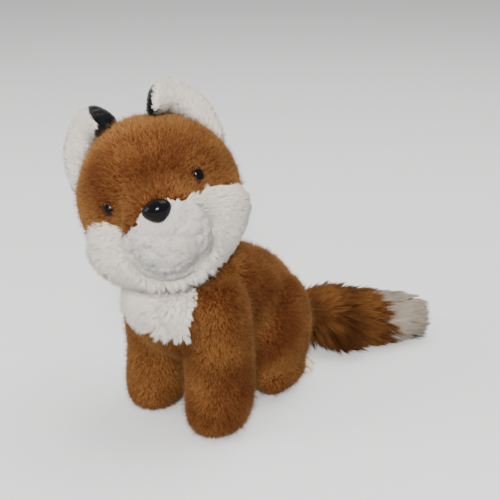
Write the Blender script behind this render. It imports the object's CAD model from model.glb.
"""The looks of a sitting plush fox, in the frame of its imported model.

Each form is stuffed cloth with pile growing on it: short ginger pile on the body and head, white pile on the
muzzle, ruff, bib and ear linings, and a long-haired tail. The nose and eyes are glossy plastic. Lengths are
metres. The fox faces -Y, its left side is at +X, and the floor is Z = 0.
"""

import copy
import math
from dataclasses import dataclass, replace

import bmesh
import bpy
import numpy as np
from mathutils import Matrix, Vector, noise
from mathutils.bvhtree import BVHTree
from mathutils.kdtree import KDTree


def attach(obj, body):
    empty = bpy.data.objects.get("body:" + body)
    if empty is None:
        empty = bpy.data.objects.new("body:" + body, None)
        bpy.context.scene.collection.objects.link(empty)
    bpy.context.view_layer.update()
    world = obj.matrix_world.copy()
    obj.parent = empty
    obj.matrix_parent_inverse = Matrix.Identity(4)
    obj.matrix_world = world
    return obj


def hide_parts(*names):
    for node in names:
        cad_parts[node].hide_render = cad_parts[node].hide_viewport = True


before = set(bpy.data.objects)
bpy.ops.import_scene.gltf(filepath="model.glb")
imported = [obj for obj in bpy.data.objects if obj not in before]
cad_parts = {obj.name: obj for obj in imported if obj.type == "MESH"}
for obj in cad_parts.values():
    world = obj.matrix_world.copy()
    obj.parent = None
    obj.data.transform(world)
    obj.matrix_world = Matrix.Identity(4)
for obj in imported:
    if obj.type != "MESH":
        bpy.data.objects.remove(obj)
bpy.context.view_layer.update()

# Camera, at the photograph's angle
FOCAL_PIXELS, FRAME_PIXELS, SENSOR = 812, 500, 36
CAMERA_TARGET = Vector((0.010, -0.030, 0.120))
CAMERA_AZIMUTH, CAMERA_RISE = math.radians(37.3), math.radians(22)
CAMERA_DISTANCE = 0.650

# The head's frame: the middle of the skull, with -Y towards the tip of the snout
NECK = Vector((0, -0.084, 0.120))
HEAD_TURN, HEAD_NOD, HEAD_TILT = math.radians(35.3), math.radians(26.3), math.radians(22)
SKULL_MIDDLE = Vector((-0.0042, -0.0240, 0.0582))
HEAD = (
    Matrix.Translation(NECK)
    @ Matrix.Rotation(HEAD_TURN, 4, "Z")
    @ Matrix.Rotation(-HEAD_NOD, 4, "X")
    @ Matrix.Rotation(-HEAD_TILT, 4, "Y")
    @ Matrix.Translation(SKULL_MIDDLE)
)

# The seam between the ginger and the white of the face, as (across, up) in the head's frame
FACE_SEAM = (
    (-0.070, -0.006),
    (-0.058, -0.009),
    (-0.031, -0.015),
    (-0.023, -0.026),
    (-0.016, -0.025),
    (-0.008, -0.016),
    (0.008, -0.016),
    (0.016, -0.021),
    (0.030, -0.017),
    (0.034, -0.014),
    (0.058, -0.017),
    (0.070, -0.012),
)
FACE_REACH = 0.005  # behind the skull's middle, where the white of the face ends
MUZZLE_MIDDLE, MUZZLE_HALF = (-0.0022, -0.0398), (0.0318, 0.0272)
MUZZLE_CREASES = ((0.99, 0.0032), (0.84, 0.0020), (0.72, 0.0010))  # share of the muzzle's size, and depth
MUZZLE_SINK = 0.0012

# Plastic eyes and nose: place and outward direction in the head's frame, radius, dome and how deep they sink
EYES = {
    "left": ((0.0330, -0.0443, -0.0050), (0.4084, -0.8948, -0.1805)),
    "right": ((-0.0330, -0.0443, -0.0050), (-0.4084, -0.8946, -0.1812)),
}
EYE_RADIUS, EYE_DOME, EYE_SINK, EYE_NARROW = 0.0066, 0.0038, 0.0022, 0.70
NOSE_PLACE, NOSE_OUT = (0, -0.0661, -0.0208), (0, -0.9861, 0.1660)
NOSE_RADIUS, NOSE_DOME, NOSE_SINK = 0.0100, 0.0072, 0.0010
WASHER_SHARE, WASHER_DEPTH, WASHER_SLOPE = 1.30, 0.0042, 0.7
CAD_EYE_RADIUS, CAD_NOSE_RADIUS = 0.0050, 0.0096

# Ears: the direction from an ear's foot to its tip, how far the foot reaches into the crown's pile, and how
# far the black cloth behind stands out
EAR_UP = {"left": Vector((-0.4201, 0.2336, 0.8769)), "right": Vector((-0.6496, 0.0004, 0.7603))}
EAR_SETTLE = 0.0030
EAR_BULGE = {"left": 0.0010, "right": 0.0070}
EAR_INWARD = {"left": Vector((-0.795, -0.606, 0)), "right": Vector((0.795, 0.606, 0))}
EAR_WRAP = 0.0040  # how far the white lining comes round an ear's outer rim
EAR_BLACK_FROM = {"left": 1.0, "right": -0.1178}  # how far inward the lining reaches
EAR_FILL, EAR_FILL_MOST, EAR_PUFF = 0.75, 0.010, 0.0020  # how the stuffing fills the lining's hollow
EAR_FOOT = 0.0045  # reach of the crown's pile round an ear's foot

# The tail's frame: its root, with +Y along it
TAIL_ROOT = Vector((0, 0.0385, 0.038))
TAIL = Matrix.Translation(TAIL_ROOT) @ Matrix.Rotation(math.radians(-40), 4, "Z")
TAIL_ROOT_TO, TAIL_WHITE_FROM, TAIL_END = 0.045, 0.072, 0.150  # along the tail

# The label's tape
LABEL_SIDE = math.radians(16)
LABEL_FROM, LABEL_TO, LABEL_LOW, LABEL_WIDTH = 0.0330, 0.0480, 0.0035, 0.0105

# Cloth
PILE_DEPTH = 0.0042  # of the cloth below the CAD's outer surface, which stands for the pile's tips
TAIL_DEPTH = 0.0085
MERGE = 0.00001
FLOOR_GAP = 0.0003
NECK_HIDDEN = (0.027, 0.1215)  # radius and height within which the head covers the neck
BIB_LEFT, BIB_LOW = 0.028, 0.089  # how far the bib's cloth reaches to the left and down
BIB_CREASE = ((0.0897, 0.1099), (0.0201, 0.0072))  # its heights, and its places across
BIB_CREASE_DEPTH, BIB_CREASE_WIDTH = 0.0020, 0.0030
SEAM_DEPTH, SEAM_WIDTH = 0.0022, 0.0035
DENSITY_SHARE = 1.0
PILE_MAP = "OFBake"


def srgb(code):
    """A linear colour from a hex code."""
    parts = [int(code[i : i + 2], 16) / 255 for i in (0, 2, 4)]
    return tuple(c / 12.92 if c < 0.04045 else ((c + 0.055) / 1.055) ** 2.4 for c in parts)


# Stage, light and camera


def place_camera():
    """The camera of the photograph."""
    back = Vector(
        (
            math.sin(CAMERA_AZIMUTH) * math.cos(CAMERA_RISE),
            -math.cos(CAMERA_AZIMUTH) * math.cos(CAMERA_RISE),
            math.sin(CAMERA_RISE),
        )
    )
    camera = bpy.data.objects.new("camera", bpy.data.cameras.new("camera"))
    bpy.context.scene.collection.objects.link(camera)
    camera.location = CAMERA_TARGET + back * CAMERA_DISTANCE
    camera.rotation_mode = "QUATERNION"
    camera.rotation_quaternion = (-back).to_track_quat("-Z", "Y")
    camera.data.sensor_width = SENSOR
    camera.data.lens = FOCAL_PIXELS / FRAME_PIXELS * SENSOR
    bpy.context.scene.camera = camera


def seen_as(tree, colour, seen):
    """A colour that is one as light meets it, and another as the camera, glass and gloss see it."""
    path = tree.nodes.new("ShaderNodeLightPath")
    ray = path.outputs["Is Camera Ray"]
    for other in ("Is Glossy Ray", "Is Transmission Ray"):
        either = tree.nodes.new("ShaderNodeMath")
        either.operation = "MAXIMUM"
        tree.links.new(ray, either.inputs[0])
        tree.links.new(path.outputs[other], either.inputs[1])
        ray = either.outputs[0]
    mix = tree.nodes.new("ShaderNodeMix")
    mix.data_type = "RGBA"
    tree.links.new(ray, mix.inputs["Factor"])
    mix.inputs["A"].default_value = (*colour, 1)
    mix.inputs["B"].default_value = (*seen, 1)
    return mix.outputs["Result"]


def build_stage():
    """A pale floor that the fox sits on."""
    bm = bmesh.new()
    bmesh.ops.create_grid(bm, x_segments=1, y_segments=1, size=6)
    floor = link_mesh("floor", bm)
    paper = bpy.data.materials.new("pale_floor")
    paper.use_nodes = True
    shader = paper.node_tree.nodes["Principled BSDF"]
    shader.inputs["Roughness"].default_value = 0.9
    shader.inputs["Specular IOR Level"].default_value = 0.1
    seen = seen_as(paper.node_tree, (0.55, 0.55, 0.55), (0.90, 0.89, 0.88))
    paper.node_tree.links.new(seen, shader.inputs["Base Color"])
    floor.data.materials.append(paper)


def add_lamp(name, place, size, watts):
    """A soft square lamp that points at the fox."""
    lamp = bpy.data.objects.new(name, bpy.data.lights.new(name, "AREA"))
    bpy.context.scene.collection.objects.link(lamp)
    lamp.data.size = size
    lamp.data.energy = watts
    lamp.location = place
    lamp.rotation_mode = "QUATERNION"
    lamp.rotation_quaternion = (CAMERA_TARGET - Vector(place)).to_track_quat("-Z", "Y")


def light_studio():
    """A soft key beside the camera, a fill and a top light, and a white world."""
    add_lamp("key", (1.30, -1.75, 1.45), 0.6, 84)
    add_lamp("fill", (-1.3, -1.7, 1.0), 1.2, 22)
    add_lamp("top", (0.2, 0.6, 2.2), 1.4, 28)
    world = bpy.data.worlds.new("studio")
    bpy.context.scene.world = world
    world.use_nodes = True
    sky = world.node_tree.nodes["Background"]
    seen = seen_as(world.node_tree, (0.60, 0.60, 0.60), (1, 1, 1))
    world.node_tree.links.new(seen, sky.inputs["Color"])


# Materials


def new_material(name, specular=0.1):
    """A Principled material, its node tree and its shader."""
    made = bpy.data.materials.new(name)
    made.use_nodes = True
    shader = made.node_tree.nodes["Principled BSDF"]
    shader.inputs["Specular IOR Level"].default_value = specular
    return made, made.node_tree, shader


def roughen(tree, shader, factor, low, high):
    """Lets the roughness run between two values with this factor."""
    rough = tree.nodes.new("ShaderNodeMapRange")
    rough.inputs["To Min"].default_value = low
    rough.inputs["To Max"].default_value = high
    tree.links.new(factor, rough.inputs["Value"])
    tree.links.new(rough.outputs["Result"], shader.inputs["Roughness"])


def emboss(tree, shader, height, strength, distance):
    """Raises the surface by this height."""
    bump = tree.nodes.new("ShaderNodeBump")
    bump.inputs["Strength"].default_value = strength
    bump.inputs["Distance"].default_value = distance
    tree.links.new(height, bump.inputs["Height"])
    tree.links.new(bump.outputs["Normal"], shader.inputs["Normal"])


def ramp(tree, factor, stops):
    """A colour ramp over this factor, with (place, hex colour) stops."""
    node = tree.nodes.new("ShaderNodeValToRGB")
    tree.links.new(factor, node.inputs["Fac"])
    elements = node.color_ramp.elements
    while len(elements) < len(stops):
        elements.new(0.5)
    for element, (place, code) in zip(elements, stops):
        element.position = place
        element.color = (*srgb(code), 1)
    return node.outputs["Color"]


def pile_material(name, dark, light, sheen="FFFFFF"):
    """Pile whose colour runs from root to tip, between a dark and a light fibre. The pile's own map holds
    the tone of each strand across and the way from root to tip upwards."""
    made, tree, shader = new_material(name, 0.06)
    shader.inputs["Sheen Weight"].default_value = 0.12
    shader.inputs["Sheen Roughness"].default_value = 0.5
    shader.inputs["Sheen Tint"].default_value = (*srgb(sheen), 1)
    own = tree.nodes.new("ShaderNodeUVMap")
    own.uv_map = PILE_MAP
    apart = tree.nodes.new("ShaderNodeSeparateXYZ")
    tree.links.new(own.outputs["UV"], apart.inputs["Vector"])
    along = apart.outputs["Y"]
    mix = tree.nodes.new("ShaderNodeMix")
    mix.data_type = "RGBA"
    tree.links.new(apart.outputs["X"], mix.inputs["Factor"])
    tree.links.new(ramp(tree, along, dark), mix.inputs["A"])
    tree.links.new(ramp(tree, along, light), mix.inputs["B"])
    tree.links.new(mix.outputs["Result"], shader.inputs["Base Color"])
    roughen(tree, shader, along, 0.95, 0.75)
    return made


def knit_material(name, dark, light):
    """The knitted cloth under the pile: fine loops in two close colours."""
    made, tree, shader = new_material(name)
    place = tree.nodes.new("ShaderNodeTexCoord")
    loops = tree.nodes.new("ShaderNodeTexVoronoi")
    loops.inputs["Scale"].default_value = 900
    tree.links.new(place.outputs["Object"], loops.inputs["Vector"])
    stops = ((0.1, dark), (0.8, light))
    tree.links.new(ramp(tree, loops.outputs["Distance"], stops), shader.inputs["Base Color"])
    roughen(tree, shader, loops.outputs["Distance"], 1.0, 0.85)
    emboss(tree, shader, loops.outputs["Distance"], 0.5, 0.0004)
    return made


def plastic_material(name, middle, stops, radius):
    """Polished plastic coloured in rings round a middle, out to a radius, with faint scratches that only
    roughen its shine."""
    made, tree, shader = new_material(name, 0.12)
    place = tree.nodes.new("ShaderNodeTexCoord")
    away =tree.nodes.new("ShaderNodeVectorMath")
    away.operation = "DISTANCE"
    tree.links.new(place.outputs["Object"], away.inputs[0])
    away.inputs[1].default_value = middle
    share = tree.nodes.new("ShaderNodeMath")
    share.operation = "DIVIDE"
    tree.links.new(away.outputs["Value"], share.inputs[0])
    share.inputs[1].default_value = radius
    tree.links.new(ramp(tree, share.outputs[0], stops), shader.inputs["Base Color"])
    marks = tree.nodes.new("ShaderNodeTexNoise")
    marks.inputs["Scale"].default_value = 900
    tree.links.new(place.outputs["Object"], marks.inputs["Vector"])
    roughen(tree, shader, marks.outputs["Fac"], 0.03, 0.14)
    return made


def tape_material():
    """Cream woven tape, in a fine twill."""
    made, tree, shader = new_material("woven_tape", 0.2)
    place = tree.nodes.new("ShaderNodeTexCoord")
    twill = tree.nodes.new("ShaderNodeTexWave")
    twill.bands_direction = "DIAGONAL"
    twill.inputs["Scale"].default_value = 500
    twill.inputs["Distortion"].default_value = 1.5
    tree.links.new(place.outputs["Object"], twill.inputs["Vector"])
    colour = ramp(tree, twill.outputs["Fac"], ((0.0, "B9AE8E"), (1.0, "E4DCC4")))
    tree.links.new(colour, shader.inputs["Base Color"])
    roughen(tree, shader, twill.outputs["Fac"], 0.8, 0.6)
    emboss(tree, shader, twill.outputs["Fac"], 0.4, 0.0002)
    return made


GINGER = pile_material(
    "ginger_pile",
    ((0.0, "2C1206"), (0.5, "4E2610"), (1.0, "6E4021")),
    ((0.0, "3E1B09"), (0.5, "774620"), (1.0, "B2844E")),
    "F0B878",
)
LONG_GINGER = pile_material(
    "long_ginger_pile",
    ((0.0, "1C0C04"), (0.5, "351B0B"), (1.0, "4C2B14")),
    ((0.0, "2A1307"), (0.5, "553117"), (1.0, "84592D")),
    "D09858",
)
WHITE = pile_material(
    "white_pile",
    ((0.0, "B4AA9C"), (0.5, "D6CCBE"), (1.0, "E6DCCE")),
    ((0.0, "CCC2B4"), (0.5, "ECE4D7"), (1.0, "F8F2E7")),
)
MUZZLE_WHITE = pile_material(
    "muzzle_pile",
    ((0.0, "B0A89E"), (0.5, "D0CAC2"), (1.0, "DED9D1")),
    ((0.0, "CAC3BA"), (0.5, "E6E1D9"), (1.0, "F4F1EA")),
)
TAIL_WHITE = pile_material(
    "tail_white_pile",
    ((0.0, "867A6B"), (0.5, "887C6D"), (1.0, "948776")),
    ((0.0, "958A7A"), (0.5, "A09484"), (1.0, "B8AC9A")),
)
BLACK = pile_material(
    "black_pile",
    ((0.0, "040405"), (1.0, "101012")),
    ((0.0, "070708"), (1.0, "1E1E21")),
)
GINGER_KNIT = knit_material("ginger_knit", "3B1707", "673414")
BROWN_KNIT = knit_material("brown_knit", "200D04", "40200C")
WHITE_KNIT = knit_material("white_knit", "B8AFA3", "DED7CC")
BLACK_KNIT = knit_material("black_knit", "040405", "0E0E10")


# Meshes


def link_mesh(name, bm):
    """An object at the origin with this bmesh, which is freed."""
    mesh = bpy.data.meshes.new(name)
    bm.to_mesh(mesh)
    bm.free()
    obj = bpy.data.objects.new(name, mesh)
    bpy.context.scene.collection.objects.link(obj)
    return obj


def merged_copy(nodes):
    """One bmesh of copies of these CAD solids, with their loose triangles merged."""
    bm = bmesh.new()
    for node in nodes:
        bm.from_mesh(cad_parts[node].data)
    bmesh.ops.remove_doubles(bm, verts=bm.verts, dist=MERGE)
    return bm


def apply_modifiers(obj):
    """Replaces the object's mesh by what its modifiers make of it."""
    graph = bpy.context.evaluated_depsgraph_get()
    made = bpy.data.meshes.new_from_object(obj.evaluated_get(graph))
    old, obj.data = obj.data, made
    obj.modifiers.clear()
    bpy.data.meshes.remove(old)
    made.name = obj.name
    return obj


def places_of(obj):
    """The object's points as an array."""
    places = np.empty(len(obj.data.vertices) * 3, np.float32)
    obj.data.vertices.foreach_get("co", places)
    return places.reshape(-1, 3).astype(float)


def move_points(obj, places, lowest=FLOOR_GAP):
    """Moves the object's points, none of them below a height."""
    places = places.copy()
    places[:, 2] = np.maximum(places[:, 2], lowest)
    obj.data.vertices.foreach_set("co", places.astype(np.float32).ravel())
    obj.data.update()


def smooth_points(obj, chosen, rounds):
    """Smooths the chosen points of the object."""
    bm = bmesh.new()
    bm.from_mesh(obj.data)
    verts = [vert for vert, inside in zip(bm.verts, chosen) if inside]
    for _ in range(rounds):
        bmesh.ops.smooth_vert(bm, verts=verts, factor=0.5, use_axis_x=True, use_axis_y=True, use_axis_z=True)
    bm.to_mesh(obj.data)
    bm.free()


def normals_of(obj):
    """The outward directions of the object's points."""
    normals = np.empty(len(obj.data.vertices) * 3, np.float32)
    obj.data.vertex_normals.foreach_get("vector", normals)
    return normals.reshape(-1, 3).astype(float)


def turned(name, profile, matrix, steps=48):
    """A turned piece: a profile of (radius, height) spun round the Z axis of the matrix."""
    bm = bmesh.new()
    points = [bm.verts.new((radius, 0, height)) for radius, height in profile]
    edges = [bm.edges.new(pair) for pair in zip(points, points[1:])]
    bmesh.ops.spin(
        bm, geom=points + edges, cent=(0, 0, 0), axis=(0, 0, 1), angle=2 * math.pi, steps=steps, use_merge=True
    )
    bmesh.ops.remove_doubles(bm, verts=bm.verts, dist=MERGE)
    bmesh.ops.recalc_face_normals(bm, faces=bm.faces)
    bm.transform(matrix)
    obj = link_mesh(name, bm)
    obj.data.shade_smooth()
    return obj


def finish_piece(obj, body, finish, nodes=()):
    """Gives a piece its material, the body that it rides on and the CAD solids that it replaces."""
    obj.data.materials.clear()
    obj.data.materials.append(finish)
    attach(obj, body)
    if nodes:
        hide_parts(*nodes)
    return obj


# Cloth forms


def stuffed_form(name, nodes, depth, voxel, rounds):
    """The closed outer shape of these CAD solids, smoothed and drawn in by the depth of its pile."""
    obj = link_mesh(name, merged_copy(nodes))
    fuse = obj.modifiers.new("fuse", "REMESH")
    fuse.mode = "VOXEL"
    fuse.voxel_size = voxel
    fuse.use_smooth_shade = True
    soften = obj.modifiers.new("soften", "SMOOTH")
    soften.factor = 0.5
    soften.iterations = rounds
    draw_in = obj.modifiers.new("draw_in", "DISPLACE")
    draw_in.mid_level = 0
    draw_in.strength = -depth
    settle = obj.modifiers.new("settle", "SMOOTH")
    settle.factor = 0.5
    settle.iterations = 3
    apply_modifiers(obj)
    drop_scraps(obj)
    move_points(obj, places_of(obj))
    return obj


def drop_scraps(obj):
    """Drops the small closed scraps that a remesh leaves inside a form."""
    bm = bmesh.new()
    bm.from_mesh(obj.data)
    left, islands = set(bm.verts), []
    while left:
        queue, island = [left.pop()], []
        while queue:
            vert = queue.pop()
            island.append(vert)
            for edge in vert.link_edges:
                other = edge.other_vert(vert)
                if other in left:
                    left.remove(other)
                    queue.append(other)
        islands.append(island)
    islands.sort(key=len)
    scraps = [vert for island in islands[:-1] for vert in island]
    bmesh.ops.delete(bm, geom=scraps, context="VERTS")
    bm.to_mesh(obj.data)
    bm.free()


def swell(obj, cap, frames=18):
    """Lets the stuffing blow the cloth up, so that it creases softly, each point by no more than the cap."""
    before = places_of(obj)
    cloth = obj.modifiers.new("swell", "CLOTH")
    cloth.settings.use_pressure = True
    cloth.settings.uniform_pressure_force = 4
    cloth.settings.effector_weights.gravity = 0
    cloth.settings.shrink_min = -0.03
    cloth.point_cache.frame_end = frames
    for number in range(1, frames + 1):
        bpy.context.scene.frame_set(number)
    graph = bpy.context.evaluated_depsgraph_get()
    after = places_of(obj.evaluated_get(graph))
    obj.modifiers.clear()
    bpy.context.scene.frame_set(1)
    moved = after - before
    far = np.linalg.norm(moved, axis=1, keepdims=True)
    move_points(obj, before + moved * np.minimum(1, cap / np.maximum(far, 1e-9)))
    finer = obj.modifiers.new("finer", "SUBSURF")
    finer.levels = finer.render_levels = 1
    apply_modifiers(obj)
    move_points(obj, places_of(obj))
    return obj


def face_centres(obj):
    """(middle, outward direction) of every face."""
    count = len(obj.data.polygons)
    middles, normals = np.empty(count * 3, np.float32), np.empty(count * 3, np.float32)
    obj.data.polygons.foreach_get("center", middles)
    obj.data.polygons.foreach_get("normal", normals)
    return middles.reshape(-1, 3).astype(float), normals.reshape(-1, 3).astype(float)


def cut_panel(cloth, name, kept):
    """The panel of a cloth form that these faces make."""
    bm = bmesh.new()
    bm.from_mesh(cloth.data)
    dropped = [face for face, keep in zip(bm.faces, kept) if not keep]
    bmesh.ops.delete(bm, geom=dropped, context="FACES")
    panel = link_mesh(name, bm)
    panel.data.shade_smooth()
    return panel


def unit(vectors):
    """The vectors at length one."""
    return vectors / np.maximum(np.linalg.norm(vectors, axis=-1, keepdims=True), 1e-12)


def tree_of(nodes):
    """A search tree of CAD solids."""
    bm = merged_copy(nodes)
    tree = BVHTree.FromBMesh(bm)
    bm.free()
    return tree


def distances(trees, spots):
    """How far each spot is from each of the search trees."""
    return np.array([[tree.find_nearest(spot)[3] for spot in spots] for tree in trees])


def in_frame(matrix, points):
    """Points in the coordinates of a frame."""
    back = np.array(matrix.inverted())
    return points @ back[:3, :3].T + back[:3, 3]


def out_of_frame(matrix, directions):
    """World directions of directions in a frame."""
    return directions @ np.array(matrix.to_3x3()).T


def patches(points, size, shift=0.0):
    """Smooth noise of about this size, from -1 to 1."""
    offset = Vector((shift, shift, shift))
    return np.array([noise.noise(Vector(p) / size + offset) for p in points])


def swirls(points, size):
    """A smooth random direction at each point."""
    return np.array([noise.noise_vector(Vector(p) / size) for p in points])


class Surface:
    """A form's cloth as triangles that pile can be planted on."""

    def __init__(self, obj):
        mesh = obj.data
        mesh.calc_loop_triangles()
        count = len(mesh.loop_triangles)
        corners, self.faces = np.empty(count * 3, np.int32), np.empty(count, np.int32)
        mesh.loop_triangles.foreach_get("vertices", corners)
        mesh.loop_triangles.foreach_get("polygon_index", self.faces)
        corners = corners.reshape(-1, 3)
        self.places = places_of(obj)[corners]
        self.normals = normals_of(obj)[corners]
        sides = self.places[:, 1:] - self.places[:, :1]
        self.areas = np.linalg.norm(np.cross(sides[:, 0], sides[:, 1]), axis=1) / 2

    def panel(self, kept):
        """The part of the surface that these faces make."""
        part = copy.copy(self)
        part.areas = self.areas * kept[self.faces]
        return part

    def roots(self, per_mm2, rng):
        """Random (places, normals) spread evenly over the surface."""
        total = self.areas.sum()
        count = int(total * 1e6 * per_mm2 * DENSITY_SHARE)
        pick = np.searchsorted(np.cumsum(self.areas) / total, rng.random(count))
        pick = pick.clip(0, len(self.areas) - 1)
        a, b = rng.random((2, count))
        flip = a + b > 1
        a[flip], b[flip] = 1 - a[flip], 1 - b[flip]
        weights = np.stack([1 - a - b, a, b], 1)[:, :, None]
        return (self.places[pick] * weights).sum(1), unit((self.normals[pick] * weights).sum(1))


# Pile


@dataclass
class Pile:
    """How one kind of pile grows. The rise is the angle between the cloth and a strand."""

    material: object
    length: float
    width: float
    per_mm2: float
    rise: float
    stray: float = 0.25  # how far strands stray from the lay
    ragged: float = 0.3  # how much shorter some strands are
    tuft: int = 12  # strands in a tuft
    pull: float = 0.4  # how far a tuft draws its tips together
    joints: int = 1  # segments of a strand
    bend: float = 0.0  # how far a strand bows away from the cloth
    mottle: float = 0.8  # how much the tone changes from patch to patch


def tuft_of(roots, size):
    """For each root, the number of the tuft that it belongs to, and the roots that the tufts are named for."""
    centres = roots[::size]
    tree = KDTree(len(centres))
    for i, place in enumerate(centres):
        tree.insert(place, i)
    tree.balance()
    return np.array([tree.find(place)[1] for place in roots]), centres


def strand_lines(roots, normals, lay, pile, rng, shade=None, reach=None):
    """Centre lines (strand, step, 3) that rise from the cloth and lean with the lay, and their tones."""
    count = len(roots)
    tuft, centres = tuft_of(roots, pile.tuft)
    tuft_stray = rng.normal(size=(len(centres), 3)) * pile.stray
    lean = lay + tuft_stray[tuft] + rng.normal(size=(count, 3)) * pile.stray * 0.6
    lean -= normals * (lean * normals).sum(1, keepdims=True)
    lean = unit(lean)
    length = pile.length * (1 - pile.ragged * rng.random((count, 1)))
    length *= (1 - 0.5 * pile.ragged * rng.random((len(centres), 1)))[tuft]
    if reach is not None:
        length *= reach(roots)[:, None]
    tips = roots + length * (normals * math.sin(pile.rise) + lean * math.cos(pile.rise))
    sums = np.zeros((len(centres), 3))
    np.add.at(sums, tuft, tips)
    middle = sums / np.maximum(np.bincount(tuft, minlength=len(centres)), 1)[:, None]
    tips += pile.pull * (middle[tuft] - tips)
    knees = (roots + tips) / 2 + normals * length * pile.bend
    steps = np.linspace(0, 1, pile.joints + 1)[None, :, None]
    ends = roots[:, None], knees[:, None], tips[:, None]
    lines = (1 - steps) ** 2 * ends[0] + 2 * steps * (1 - steps) * ends[1] + steps**2 * ends[2]
    lines[:, :, 2] = np.maximum(lines[:, :, 2], FLOOR_GAP)
    tone = 0.5 + pile.mottle * (patches(centres, 0.022) + 0.3 * patches(centres, 0.006, 9))[tuft]
    tone += 0.08 * rng.normal(size=len(centres))[tuft] + 0.12 * rng.normal(size=count)
    if shade is not None:
        tone += shade(roots)
    return lines, tone.clip(0.02, 0.98)


def strand_mesh(name, lines, tone, normals, pile):
    """A mesh of three-sided strands, each from a ring at its root to one point at its tip."""
    count, rings = len(lines), pile.joints
    along = unit(lines[:, -1] - lines[:, 0])
    side = unit(np.cross(along, normals + 0.01))
    over = np.cross(along, side)
    turns = 2 * math.pi * np.arange(3) / 3
    around = np.cos(turns)[:, None] * side[:, None] + np.sin(turns)[:, None] * over[:, None]
    steps = np.arange(rings) / rings
    widths = pile.width / 2 * (1 - steps) ** 0.5
    spread = around[:, None] * widths[None, :, None, None]
    rows = (lines[:, :rings, None] + spread).reshape(count, rings * 3, 3)
    verts = np.concatenate([rows, lines[:, -1:]], 1)
    shading = np.concatenate([np.tile(around, (1, rings, 1)), along[:, None]], 1)
    shading = unit(shading * 0.5 + normals[:, None])
    each = rings * 3 + 1
    walls = [
        (r * 3 + i, r * 3 + (i + 1) % 3, r * 3 + 3 + (i + 1) % 3, r * 3 + 3 + i)
        for r in range(rings - 1)
        for i in range(3)
    ]
    last = (rings - 1) * 3
    points = [(last + i, last + (i + 1) % 3, each - 1) for i in range(3)]
    corners = np.array([v for face in walls + points for v in face])
    sizes = np.array([len(face) for face in walls + points])
    loops = (corners[None] + np.arange(count)[:, None] * each).ravel()
    totals = np.tile(sizes, count)
    mesh = bpy.data.meshes.new(name)
    mesh.vertices.add(count * each)
    mesh.vertices.foreach_set("co", verts.astype(np.float32).ravel())
    mesh.loops.add(len(loops))
    mesh.loops.foreach_set("vertex_index", loops.astype(np.int32))
    mesh.polygons.add(len(totals))
    mesh.polygons.foreach_set("loop_start", (np.cumsum(totals) - totals).astype(np.int32))
    mesh.polygons.foreach_set("use_smooth", np.ones(len(totals), bool))
    heights = np.append(np.repeat(steps, 3), 1.0)
    offsets = np.append(np.tile((-0.01, 0.0, 0.01), rings), 0.0)
    across = (tone[:, None] + offsets[None])[:, corners]
    upwards = np.broadcast_to(heights[corners], across.shape)
    layer = mesh.uv_layers.new(name=PILE_MAP)
    layer.uv.foreach_set("vector", np.stack([across, upwards], 2).astype(np.float32).ravel())
    mesh.update(calc_edges=True)
    mesh.normals_split_custom_set_from_vertices(shading.reshape(-1, 3))
    mesh.materials.append(pile.material)
    return mesh


def plant(name, surface, pile, lay, body, where=None, shade=None, reach=None):
    """Grows pile on a cloth surface, where a test of the roots keeps it."""
    rng = np.random.default_rng([ord(letter) for letter in name])
    roots, normals = surface.roots(pile.per_mm2, rng)
    if where is not None:
        kept = where(roots)
        roots, normals = roots[kept], normals[kept]
    lines, tone = strand_lines(roots, normals, lay(roots, normals), pile, rng, shade, reach)
    obj = bpy.data.objects.new(name, strand_mesh(name, lines, tone, normals, pile))
    bpy.context.scene.collection.objects.link(obj)
    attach(obj, body)
    return obj


SHORT = Pile(
    GINGER, 0.0068, 0.00054, 3.5, math.radians(64), stray=0.5, ragged=0.45, tuft=5, pull=0.18, mottle=0.5
)
FRINGE = replace(SHORT, length=0.0085, per_mm2=5.0, rise=math.radians(68))
MUZZLE_PILE = Pile(
    MUZZLE_WHITE, 0.0034, 0.00048, 6.6, math.radians(46), stray=0.6, tuft=10, pull=0.3, mottle=0.4
)
RUFF = Pile(
    WHITE, 0.0118, 0.00058, 4.2, math.radians(46), stray=0.6, ragged=0.5, tuft=15, pull=0.36, joints=2,
    mottle=0.8,
)
BIB = replace(RUFF, rise=math.radians(42), stray=0.42, ragged=0.4, tuft=28, pull=0.42)
LINING = Pile(
    WHITE, 0.0070, 0.00054, 5.2, math.radians(50), stray=0.7, ragged=0.45, tuft=12, pull=0.36, mottle=0.8
)
EAR_BACK = Pile(BLACK, 0.0036, 0.00055, 4.6, math.radians(60), stray=0.5, tuft=4, pull=0.15)
FUZZ = Pile(GINGER, 0.0105, 0.00032, 0.35, math.radians(68), stray=0.9, ragged=0.35, tuft=4, pull=0.2)
BRUSH = Pile(
    LONG_GINGER, 0.034, 0.00070, 1.6, math.radians(18), stray=0.16, ragged=0.5, tuft=18, pull=0.55,
    joints=2, bend=0.12,
)
TAIL_TUFT = replace(BRUSH, length=0.033, rise=math.radians(32), per_mm2=2.0, ragged=0.35)
TIP = replace(BRUSH, material=TAIL_WHITE, length=0.030, per_mm2=1.4, ragged=0.35)


# Lays of the pile


def down_the_body(roots, normals):
    """Down, and backwards over the top of the back."""
    lay = np.tile((0.0, 0.25, -1.0), (len(roots), 1))
    return lay + 0.4 * swirls(roots, 0.03)


def down_the_leg(roots, normals):
    """Down a leg, and forwards over the toes."""
    lay = np.tile((0.0, -0.15, -1.0), (len(roots), 1))
    return lay + 0.4 * swirls(roots, 0.025)


def over_the_head(roots, normals):
    """From the nose up over the head and out over the cheeks."""
    spots = in_frame(HEAD, roots)
    lay = unit(spots - np.array((0, -0.070, -0.030)))
    lay[:, 1] += 0.3
    return out_of_frame(HEAD, lay) + 0.35 * swirls(roots, 0.022)


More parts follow.
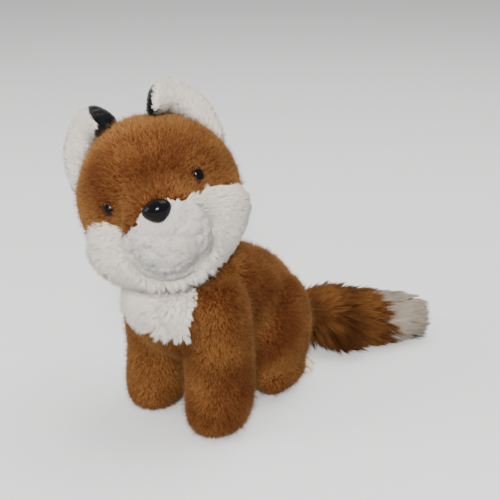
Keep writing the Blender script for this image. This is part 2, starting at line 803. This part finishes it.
def up_the_crown(roots, normals):
    """Up towards the ears."""
    return np.tile(np.array(EAR_UP["left"] + EAR_UP["right"]), (len(roots), 1)) + 0.5 * swirls(roots, 0.006)


def out_from_the_face(roots, normals):
    """Out and down from the middle of the muzzle."""
    spots = in_frame(HEAD, roots)
    lay = spots - np.array((0, 0, -0.030))
    lay[:, 1] = 0
    lay = unit(lay)
    lay[:, 1] = 0.15
    lay[:, 2] -= 0.55
    return out_of_frame(HEAD, lay) + 0.25 * swirls(roots, 0.015)


def crumpled(roots, normals):
    """Every way, in small swirls."""
    return swirls(roots, 0.007) + 0.3 * out_from_the_face(roots, normals)


def beside_bib_crease(roots):
    """How far to the left of the bib's crease each root lies."""
    return roots[:, 0] - np.interp(roots[:, 2], *BIB_CREASE)


def down_the_bib(roots, normals):
    """Down, and apart on both sides of the crease."""
    apart = np.tanh(beside_bib_crease(roots) / 0.010)
    lay = np.stack([apart * 0.9, np.full(len(roots), -0.25), np.full(len(roots), -1.0)], 1)
    return lay + 0.5 * swirls(roots, 0.012)


def along_the_tail(roots, normals):
    """Towards the tail's end."""
    lay = np.tile(np.array(TAIL.to_3x3())[:, 1], (len(roots), 1))
    return lay + np.array((0, 0, -0.15)) + 0.12 * swirls(roots, 0.03)


def up_and_down_the_tail(roots, normals):
    """Hanging at the tail's root, and more and more along the tail from there."""
    share = np.clip(in_frame(TAIL, roots)[:, 1] / TAIL_ROOT_TO, 0, 1)[:, None]
    lay = (0.35 + 0.8 * share) * along_the_tail(roots, normals)
    lay[:, 2:] += np.where(roots[:, 2:] > TAIL_ROOT.z, 0.8, -1.2) * (1 - 0.5 * share)
    return lay


# Forms of the fox

BODY_SOLIDS = {
    "torso": ("torso_skin", "torso_stuffing"),
    "bib": ("chest_bib",),
    "front_leg_left": ("front_leg_left_skin", "front_leg_left_stuffing"),
    "front_leg_right": ("front_leg_right_skin", "front_leg_right_stuffing"),
    "haunch_left": ("haunch_left_skin", "haunch_left_stuffing"),
    "haunch_right": ("haunch_right_skin", "haunch_right_stuffing"),
    "hind_foot_left": ("hind_foot_left",),
    "hind_foot_right": ("hind_foot_right",),
}


BODY_SPOTS = (  # places where the pile's tone changes, the reach of each and its change
    ((0.045, -0.035, 0.070), 0.045, -0.25),
    ((0.050, -0.113, 0.037), 0.020, -0.45),
    ((0.034, -0.122, 0.060), 0.016, 0.25),
    ((0.040, -0.121, 0.104), 0.018, 0.20),
    ((0.046, -0.031, 0.091), 0.016, -0.30),
    ((0.052, -0.036, 0.059), 0.018, -0.35),
    ((0.046, -0.048, 0.026), 0.012, 0.45),
    ((0.044, -0.059, 0.097), 0.015, -0.35),
    ((-0.012, -0.116, 0.031), 0.020, 0.25),
    ((-0.030, -0.123, 0.070), 0.018, 0.30),
    ((0.013, -0.120, 0.073), 0.016, -0.70),
)


LEG_SEAM = (
    (0.036, -0.068, 0.126),
    (0.041, -0.072, 0.117),
    (0.042, -0.072, 0.105),
    (0.041, -0.069, 0.091),
    (0.043, -0.068, 0.077),
    (0.041, -0.064, 0.062),
    (0.039, -0.062, 0.048),
    (0.039, -0.059, 0.034),
)
LEG_SEAM_REACH, LEG_SEAM_TONE = 0.0075, -0.55


def spot_sum(spots, places):
    """The sum at each place of soft round spots, each with its middle, reach and height."""
    total = np.zeros(len(places))
    for middle, radius, height in spots:
        away = np.linalg.norm(places - np.array(middle), axis=1)
        total += height * np.exp(-((away / radius) ** 2))
    return total


def body_shade(roots):
    """Darker haunches and feet, lighter shins and toes, and a dark seam behind each front leg."""
    either_side = roots * np.stack([np.sign(roots[:, 0]), np.ones(len(roots)), np.ones(len(roots))], 1)
    seam = [(place, LEG_SEAM_REACH, LEG_SEAM_TONE) for place in LEG_SEAM]
    return spot_sum(BODY_SPOTS, roots) + spot_sum(seam, either_side)


def clear_of_neck(roots):
    """Outside the place where the head sits on the neck."""
    away = np.hypot(roots[:, 0] - NECK.x, roots[:, 1] - NECK.y)
    return (away > NECK_HIDDEN[0]) | (roots[:, 2] < NECK_HIDDEN[1])


def crease_seams(cloth, trees, bib):
    """Draws the cloth in along the seams between its panels and along the bib's crease."""
    places, normals = places_of(cloth), normals_of(cloth)
    far = distances(trees, places + normals * PILE_DEPTH)
    on_bib = np.argmin(far, axis=0) == bib
    far.sort(axis=0)
    deep = SEAM_DEPTH * np.exp(-(((far[1] - far[0]) / SEAM_WIDTH) ** 2))
    deep += BIB_CREASE_DEPTH * on_bib * np.exp(-((beside_bib_crease(places) / BIB_CREASE_WIDTH) ** 2))
    move_points(cloth, places - normals * deep[:, None])


def build_body():
    """The torso, legs, haunches, feet and bib, as panels of one swollen cloth."""
    nodes = [node for group in BODY_SOLIDS.values() for node in group]
    trees = [tree_of(group) for group in BODY_SOLIDS.values()]
    cloth = stuffed_form("body_form", nodes, PILE_DEPTH, 0.004, 4)
    swell(cloth, 0.0018)
    bib = list(BODY_SOLIDS).index("bib")
    crease_seams(cloth, trees, bib)
    middles, normals = face_centres(cloth)
    far = distances(trees, middles + normals * PILE_DEPTH)
    far[bib, (middles[:, 0] > BIB_LEFT) | (middles[:, 2] < BIB_LOW)] = 1
    nearest = np.argmin(far, axis=0)
    surface = Surface(cloth)
    for number, (name, nodes) in enumerate(BODY_SOLIDS.items()):
        kept = nearest == number
        white = name == "bib"
        panel = cut_panel(cloth, f"{name}_cloth", kept)
        finish_piece(panel, "torso", WHITE_KNIT if white else GINGER_KNIT, nodes)
        part = surface.panel(kept)
        if name == "torso":
            for side, sign in (("left", 1), ("right", -1)):

                def half(roots, sign=sign):
                    return clear_of_neck(roots) & (roots[:, 0] * sign > 0)

                plant(f"torso_pile_{side}", part, SHORT, down_the_body, "torso", half, body_shade)
        elif white:
            plant("bib_pile", part, BIB, down_the_bib, "torso", clear_of_neck)
        else:
            lay = down_the_body if "haunch" in name else down_the_leg
            plant(f"{name}_pile", part, SHORT, lay, "torso", clear_of_neck, body_shade)
    plant("body_fuzz", surface.panel(nearest != bib), FUZZ, down_the_body, "torso", clear_of_neck)
    bpy.data.objects.remove(cloth)


def seam_height(spots):
    """The height of the seam between ginger and white over a place on the face, in the head's frame."""
    across, up = zip(*FACE_SEAM)
    return np.interp(spots[:, 0], across, up)


def is_ginger(roots):
    """Above the face's seam, or behind it."""
    spots = in_frame(HEAD, roots)
    wobble = 0.0012 * patches(roots, 0.004, 3)
    return (spots[:, 2] > seam_height(spots) + wobble) | (spots[:, 1] > FACE_REACH)


def muzzle_share(spots):
    """How far out from the muzzle's middle a place in the head's frame lies, 1 at its edge."""
    across = (spots[:, 0] - MUZZLE_MIDDLE[0]) / MUZZLE_HALF[0]
    up = (spots[:, 2] - MUZZLE_MIDDLE[1]) / MUZZLE_HALF[1]
    return np.where(spots[:, 1] < -0.025, np.hypot(across, up), 9.0)


def crease_muzzle(cloth):
    """Presses the muzzle's two curved creases and its small crumples into the cloth."""
    places, normals = places_of(cloth), normals_of(cloth)
    spots = in_frame(HEAD, places)
    share = muzzle_share(spots)
    deep = np.zeros(len(places))
    for at, depth in MUZZLE_CREASES:
        deep += depth * np.exp(-(((share - at) / 0.05) ** 2))
    low = np.clip((-0.030 - spots[:, 2]) / 0.012, 0, 1)
    inside = np.clip((1 - share) / 0.15, 0, 1) * ~is_ginger(places)
    folds = np.exp(-((patches(places, 0.010, 5) / 0.16) ** 2)) * np.clip((spots[:, 2] + 0.060) / 0.02, 0.3, 1)
    sunk = MUZZLE_SINK + 0.0030 * folds - 0.0014 * patches(places, 0.005, 2)
    move_points(cloth, places - normals * (sunk * inside + deep * low)[:, None])


def studs():
    """(frame, radius) of both eyes and of the nose."""
    eyes = [(stud_frame(place, out, 0), CAD_EYE_RADIUS) for place, out in EYES.values()]
    return [*eyes, (stud_frame(NOSE_PLACE, NOSE_OUT, 0), CAD_NOSE_RADIUS)]


def clear_studs(cloth):
    """Lifts the cloth over the washers behind the eyes and the nose, on a soft slope."""
    places = places_of(cloth)
    for matrix, radius in studs():
        spots = in_frame(matrix, places)
        away = np.hypot(spots[:, 0], spots[:, 1]) - radius * WASHER_SHARE - 0.001
        least = -WASHER_DEPTH - WASHER_SLOPE * np.maximum(away, 0)
        low = (spots[:, 2] < least) & (spots[:, 2] > -0.016)
        places += out_of_frame(matrix, np.array([[0, 0, 1.0]])) * ((least - spots[:, 2]) * low)[:, None]
    move_points(cloth, places)


def clear_of_studs(roots):
    """Outside the eyes and the nose."""
    kept = np.ones(len(roots), bool)
    for matrix, radius in studs():
        spots = in_frame(matrix, roots)
        kept &= (np.hypot(spots[:, 0], spots[:, 1]) > radius * 0.8) | (spots[:, 2] < -0.016)
    return kept


def soften_bridge(cloth):
    """Smooths the fold between the forehead and the top of the snout."""
    spots = in_frame(HEAD, places_of(cloth))
    near = (np.abs(spots[:, 0]) < 0.036) & (spots[:, 1] < -0.025) & (np.abs(spots[:, 2] + 0.006) < 0.020)
    smooth_points(cloth, near, BRIDGE_ROUNDS)


def press_in(cloth):
    """Draws the cloth in at the head's soft places."""
    places, normals = places_of(cloth), normals_of(cloth)
    deep = spot_sum(HEAD_PRESSES, places)
    move_points(cloth, places - normals * deep[:, None])


HEAD_SOLIDS = {
    "head": ("head_skin", "head_stuffing"),
    "muzzle": ("muzzle_skin",),
    "ruff_left": ("ruff_left",),
    "ruff_right": ("ruff_right",),
}
BRIDGE_ROUNDS, EAR_ROUNDS = 14, 5
HEAD_PRESSES = (  # places where the head's cloth is drawn in, the reach of each and its depth
    ((-0.024, -0.094, 0.236), 0.016, 0.0028),
    ((0.043, -0.109, 0.147), 0.017, 0.0034),
    ((0.037, -0.118, 0.136), 0.014, 0.0024),
    ((0.047, -0.088, 0.165), 0.016, 0.0020),
)
HEAD_SPOTS = (  # as the body's, in the head's frame
    ((-0.026, -0.042, 0.020), 0.020, -0.85),
    ((0.026, -0.042, 0.022), 0.018, -0.50),
    ((0.0, -0.055, 0.004), 0.012, -0.25),
    ((0.0, -0.068, -0.010), 0.010, 0.55),
    ((-0.010, -0.028, 0.052), 0.026, 1.00),
    ((0.030, -0.020, 0.040), 0.020, 0.35),
    ((-0.050, -0.020, 0.010), 0.022, 0.50),
    ((0.050, -0.020, 0.000), 0.020, 0.15),
)


def head_shade(roots):
    """Darker brows and a lighter bridge, crown and cheeks."""
    return spot_sum(HEAD_SPOTS, in_frame(HEAD, roots))


def build_head():
    """The head: ginger pile above, a short-piled white muzzle and a long-piled white ruff."""
    nodes = [node for group in HEAD_SOLIDS.values() for node in group]
    cloth = stuffed_form("head_form", nodes, PILE_DEPTH, 0.004, 4)
    swell(cloth, 0.0018)
    soften_bridge(cloth)
    press_in(cloth)
    crease_muzzle(cloth)
    clear_studs(cloth)
    middles, _ = face_centres(cloth)
    spots = in_frame(HEAD, middles)
    ginger, share = is_ginger(middles), muzzle_share(spots)
    panels = {
        "head": ginger,
        "muzzle": ~ginger & (share < 1),
        "ruff_left": ~ginger & (share >= 1) & (spots[:, 0] >= 0),
        "ruff_right": ~ginger & (share >= 1) & (spots[:, 0] < 0),
    }
    for name, kept in panels.items():
        panel = cut_panel(cloth, f"{name}_cloth", kept)
        finish_piece(panel, "head", GINGER_KNIT if name == "head" else WHITE_KNIT, HEAD_SOLIDS[name])

    ears = [tree_of((f"ear_{side}_back", f"ear_{side}_lining")) for side in EAR_UP]

    def white(roots):
        return clear_of_shoulders(roots) & clear_of_studs(roots) & ~is_ginger(roots)

    def on_muzzle(roots):
        return white(roots) & (muzzle_share(in_frame(HEAD, roots)) < 1)

    surface = Surface(cloth)
    plant("muzzle_pile", surface, MUZZLE_PILE, crumpled, "head", on_muzzle)
    for side, sign in (("left", 1), ("right", -1)):

        def on_ginger(roots, sign=sign):
            mine = in_frame(HEAD, roots)[:, 0] * sign > 0
            return mine & is_ginger(roots) & clear_of_shoulders(roots) & clear_of_studs(roots)

        def on_ruff(roots, sign=sign):
            spots = in_frame(HEAD, roots)
            return white(roots) & (muzzle_share(spots) >= 1) & (spots[:, 0] * sign > 0)

        plant(
            f"head_pile_{side}", surface, SHORT, over_the_head, "head", on_ginger, head_shade
        )
        plant(
            f"ruff_pile_{side}", surface, RUFF, out_from_the_face, "head", on_ruff,
            reach=shorter_on_the_cheek,
        )

    def round_the_ears(roots):
        near = (distances(ears, roots) < EAR_FOOT).any(axis=0)
        return near & is_ginger(roots)

    def ginger_only(roots):
        return is_ginger(roots) & clear_of_shoulders(roots) & clear_of_studs(roots)

    plant("crown_fringe", surface, FRINGE, up_the_crown, "head", round_the_ears)
    plant("head_fuzz", surface, FUZZ, over_the_head, "head", ginger_only)
    bpy.data.objects.remove(cloth)


def shorter_on_the_cheek(roots):
    """The length of the ruff's pile, which is less on the left cheek."""
    return 1 - 0.38 * np.clip((in_frame(HEAD, roots)[:, 0] - 0.010) / 0.020, 0, 1)


def clear_of_shoulders(roots):
    """Outside the hollow in which the head sits on the neck."""
    away = np.hypot(roots[:, 0] - NECK.x, roots[:, 1] - NECK.y)
    return (away > 0.036) | (roots[:, 2] > 0.150)


def below_hull(places, way):
    """How far below the points' convex hull each point lies, looking along the way."""
    bm = bmesh.new()
    points = [bm.verts.new(place) for place in places]
    bmesh.ops.convex_hull(bm, input=points)
    hull = BVHTree.FromBMesh(bm)
    bm.free()
    found = [hull.ray_cast(Vector(place) + Vector(way) * MERGE, way)[3] for place in places]
    return np.array([far or 0.0 for far in found])


def build_ears():
    """Each ear: white lining in front, black cloth behind, its foot settled into the crown's pile."""
    skull = tree_of(("head_skin",))
    for side, up in EAR_UP.items():
        body = f"ear_{side}"
        nodes = f"ear_{side}_back", f"ear_{side}_lining"
        cloth = stuffed_form(f"{body}_form", nodes, 0.0020, 0.0014, 4)
        places = places_of(cloth)
        for i, place in enumerate(places):
            found, _, _, far = skull.find_nearest(place)
            reach = max(0.0, 1 - far / 0.008)
            places[i] += (np.array(found) - place) / max(far, 1e-6) * EAR_SETTLE * reach
        move_points(cloth, places)
        trees = [tree_of((node,)) for node in nodes]
        normals, middle = normals_of(cloth), places.mean(axis=0)
        behind, before = distances(trees, places + normals * 0.002)
        inward = (places - middle) @ np.array(EAR_INWARD[side])
        bulge = np.clip((before - behind) / 0.002, 0, 1) * np.clip(0.5 + inward / 0.010, 0, 1)
        bulge *= np.exp(-((((places - middle) @ np.array(up)) / 0.020) ** 2))
        lined = np.sin(math.pi / 2 * np.clip((behind - before) / 0.005, 0, 1))[:, None]
        facing = unit(normals[before < behind].mean(axis=0))
        middles, facings = face_centres(cloth)
        behind, before = distances(trees, middles + facings * 0.002)
        outer = np.clip(0.5 - ((middles - middle) @ np.array(EAR_INWARD[side]) - 0.003) / 0.008, 0, 1)
        front = before < behind + EAR_WRAP * outer
        front &= middles @ np.array(EAR_INWARD[side]) < EAR_BLACK_FROM[side]
        hollow = np.minimum(below_hull(places, facing), EAR_FILL_MOST)[:, None]
        places += normals * (EAR_BULGE[side] * bulge)[:, None]
        places += facing * lined * (EAR_FILL * hollow + EAR_PUFF)
        move_points(cloth, places)
        smooth_points(cloth, np.ones(len(places), bool), EAR_ROUNDS)
        surface = Surface(cloth)

        def up_the_ear(roots, normals, up=up):
            return np.array(up) + 0.35 * swirls(roots, 0.010)

        for kind, kept, pile, knit, slot in (
            ("lining", front, LINING, WHITE_KNIT, "white_plush"),
            ("back", ~front, EAR_BACK, BLACK_KNIT, "black_plush"),
        ):
            panel = cut_panel(cloth, f"{body}_{kind}_cloth", kept)
            finish_piece(panel, body, knit, (f"ear_{side}_{kind}",))
            plant(f"{body}_{kind}_pile", surface.panel(kept), pile, up_the_ear, body)
        bpy.data.objects.remove(cloth)


def build_tail():
    """The tail: long hair that lies along its stuffed core, ginger and then white."""
    nodes = "tail_stuffing", "tail_brush", "tail_tip"
    cloth = stuffed_form("tail_form", nodes, TAIL_DEPTH, 0.003, 4)
    surface = Surface(cloth)
    middles, _ = face_centres(cloth)

    def along(roots):
        return in_frame(TAIL, roots)[:, 1] + 0.014 * patches(roots, 0.008) + 0.35 * (roots[:, 2] - TAIL_ROOT.z)

    def shorter_at_the_end(roots):
        return np.clip((TAIL_END - in_frame(TAIL, roots)[:, 1]) / 0.040, 0.30, 1)

    def above(roots):
        return (along(roots) < TAIL_WHITE_FROM) & (in_frame(TAIL, roots)[:, 0] > 0)

    def below(roots):
        return (along(roots) < TAIL_WHITE_FROM) & (in_frame(TAIL, roots)[:, 0] <= 0)

    def on_tip(roots):
        return along(roots) >= TAIL_WHITE_FROM

    def round_the_root(roots):
        return along(roots) < TAIL_ROOT_TO

    def longer_below(roots):
        return np.where(roots[:, 2] > TAIL_ROOT.z, 0.78, 1.2)

    white = on_tip(middles)
    for name, kept, knit, slot, group in (
        ("tail_brush_cloth", ~white, BROWN_KNIT, "ginger_long_pile", nodes[:2]),
        ("tail_tip_cloth", white, WHITE_KNIT, "white_plush", nodes[2:]),
    ):
        panel = cut_panel(cloth, name, kept)
        finish_piece(panel, "tail", knit, group)
    plant("tail_left_pile", surface, BRUSH, along_the_tail, "tail", above)
    plant("tail_right_pile", surface, BRUSH, along_the_tail, "tail", below)
    plant(
        "tail_root_pile", surface, TAIL_TUFT, up_and_down_the_tail, "tail", round_the_root,
        reach=longer_below,
    )
    plant(
        "tail_tip_pile", surface, TIP, along_the_tail, "tail", on_tip, reach=shorter_at_the_end
    )
    bpy.data.objects.remove(cloth)


# Plastic studs and the label


def stud_frame(place, out, sink):
    """The frame of a stud: its middle on the head, sunk by this much, with Z outward and Y up the face."""
    out = Vector(out).normalized()
    across = Vector((0, 0, 1)).cross(out).normalized()
    turn = Matrix((across, out.cross(across), out)).transposed().to_4x4()
    return HEAD @ Matrix.Translation(Vector(place) - out * sink) @ turn


def dome_profile(radius, dome, stem, power=2.2):
    """A full dome with a rolled edge on a stem, as (radius, height) from the top."""
    rows = []
    for step in range(17):
        angle = math.pi / 2 * step / 16
        rows.append((radius * math.sin(angle), dome * math.cos(angle) ** (2 / power)))
    return [*rows, (radius * 0.97, -0.0005), (stem, -0.0007), (stem, -0.0050), (0, -0.0050)]


def build_eyes():
    """Dark brown safety eyes with black pupils, sunk in the pile."""
    rings = ((0.0, "020202"), (0.46, "020202"), (0.54, "2C1408"), (0.80, "3A1C0C"), (0.94, "080403"))
    for side, (place, out) in EYES.items():
        matrix = stud_frame(place, out, EYE_SINK)
        shape = matrix @ Matrix.Diagonal((EYE_NARROW, 1, 1, 1))
        eye = turned(f"eye_{side}_dome", dome_profile(EYE_RADIUS, EYE_DOME, 0.0016), shape)
        top = matrix @ Vector((0, 0, EYE_DOME))
        plastic = plastic_material(f"eye_{side}_plastic", top, rings, EYE_RADIUS * 1.15)
        finish_piece(eye, "head", plastic, (f"eye_{side}",))


def build_nose():
    """A glossy black nose: a domed triangle with round corners, wide at the top."""
    matrix = stud_frame(NOSE_PLACE, NOSE_OUT, NOSE_SINK)
    nose = turned("nose_dome", dome_profile(NOSE_RADIUS, NOSE_DOME, 0.0030), Matrix())
    places = places_of(nose)
    up = places[:, 1] / NOSE_RADIUS
    places[:, 0] *= 1 + 0.05 * up - 0.24 * np.clip(-up, 0, 1) ** 1.4
    places[:, 1] *= np.where(up > 0, 0.70, 0.84)
    places[:, 2] -= 0.0012 * np.clip(-up, 0, 1) ** 2
    move_points(nose, places, -1)
    nose.data.transform(matrix)
    rings = ((0.0, "050506"), (0.6, "040405"), (1.0, "09090B"))
    plastic = plastic_material("nose_plastic", matrix.translation, rings, NOSE_RADIUS)
    finish_piece(nose, "head", plastic, ("nose",))


def finish_washers():
    """The moulded plastic of the washers behind the cloth."""
    made, tree, shader = new_material("washer_plastic", 0.4)
    place = tree.nodes.new("ShaderNodeTexCoord")
    clouds = tree.nodes.new("ShaderNodeTexNoise")
    clouds.inputs["Scale"].default_value = 300
    tree.links.new(place.outputs["Object"], clouds.inputs["Vector"])
    colour = ramp(tree, clouds.outputs["Fac"], ((0.3, "DAD9D4"), (0.7, "EDECE8")))
    tree.links.new(colour, shader.inputs["Base Color"])
    roughen(tree, shader, clouds.outputs["Fac"], 0.3, 0.5)
    for name in ("eye_left_washer", "eye_right_washer", "nose_washer"):
        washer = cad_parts[name]
        washer.data.materials.clear()
        washer.data.materials.append(made)


def build_label():
    """A blank tape, folded double and sewn into the seam beside the left haunch."""
    out = Vector((math.cos(LABEL_SIDE), math.sin(LABEL_SIDE), 0))
    over = Vector((-math.sin(LABEL_SIDE), math.cos(LABEL_SIDE), 0))
    apart = 0.0005
    line = [(LABEL_FROM + (LABEL_TO - LABEL_FROM) * i / 12, -apart) for i in range(13)]
    fold = [(LABEL_TO + apart * math.cos(a), apart * math.sin(a)) for a in (-0.8, 0, 0.8)]
    path = line + fold + [(reach, apart) for reach, _ in reversed(line)]
    bm = bmesh.new()
    points = [bm.verts.new(out * reach + over * aside + Vector((0, 0, LABEL_LOW))) for reach, aside in path]
    edges = [bm.edges.new(pair) for pair in zip(points, points[1:])]
    rows = edges
    for _ in range(6):
        made = bmesh.ops.extrude_edge_only(bm, edges=rows)["geom"]
        lifted = [item for item in made if isinstance(item, bmesh.types.BMVert)]
        bmesh.ops.translate(bm, verts=lifted, vec=(0, 0, LABEL_WIDTH / 6))
        rows = [item for item in made if isinstance(item, bmesh.types.BMEdge)]
    for vert in bm.verts:
        loose = max(0.0, (vert.co.dot(out) - 0.037) / 0.009)
        vert.co += over * 0.0018 * loose * math.sin(vert.co.z * 700 + vert.co.dot(out) * 300)
        vert.co.z += 0.0010 * loose * math.sin(vert.co.dot(out) * 900)
    bmesh.ops.recalc_face_normals(bm, faces=bm.faces)
    area = sum(face.calc_area() for face in bm.faces)
    tape = link_mesh("label_tape", bm)
    tape.data.shade_smooth()
    thick = tape.modifiers.new("thick", "SOLIDIFY")
    thick.thickness = 0.00025
    thick.offset = 0
    finish_piece(tape, "torso", tape_material(), ("label",))


place_camera()
build_stage()
light_studio()
build_body()
build_head()
build_ears()
build_tail()
build_eyes()
build_nose()
finish_washers()
build_label()
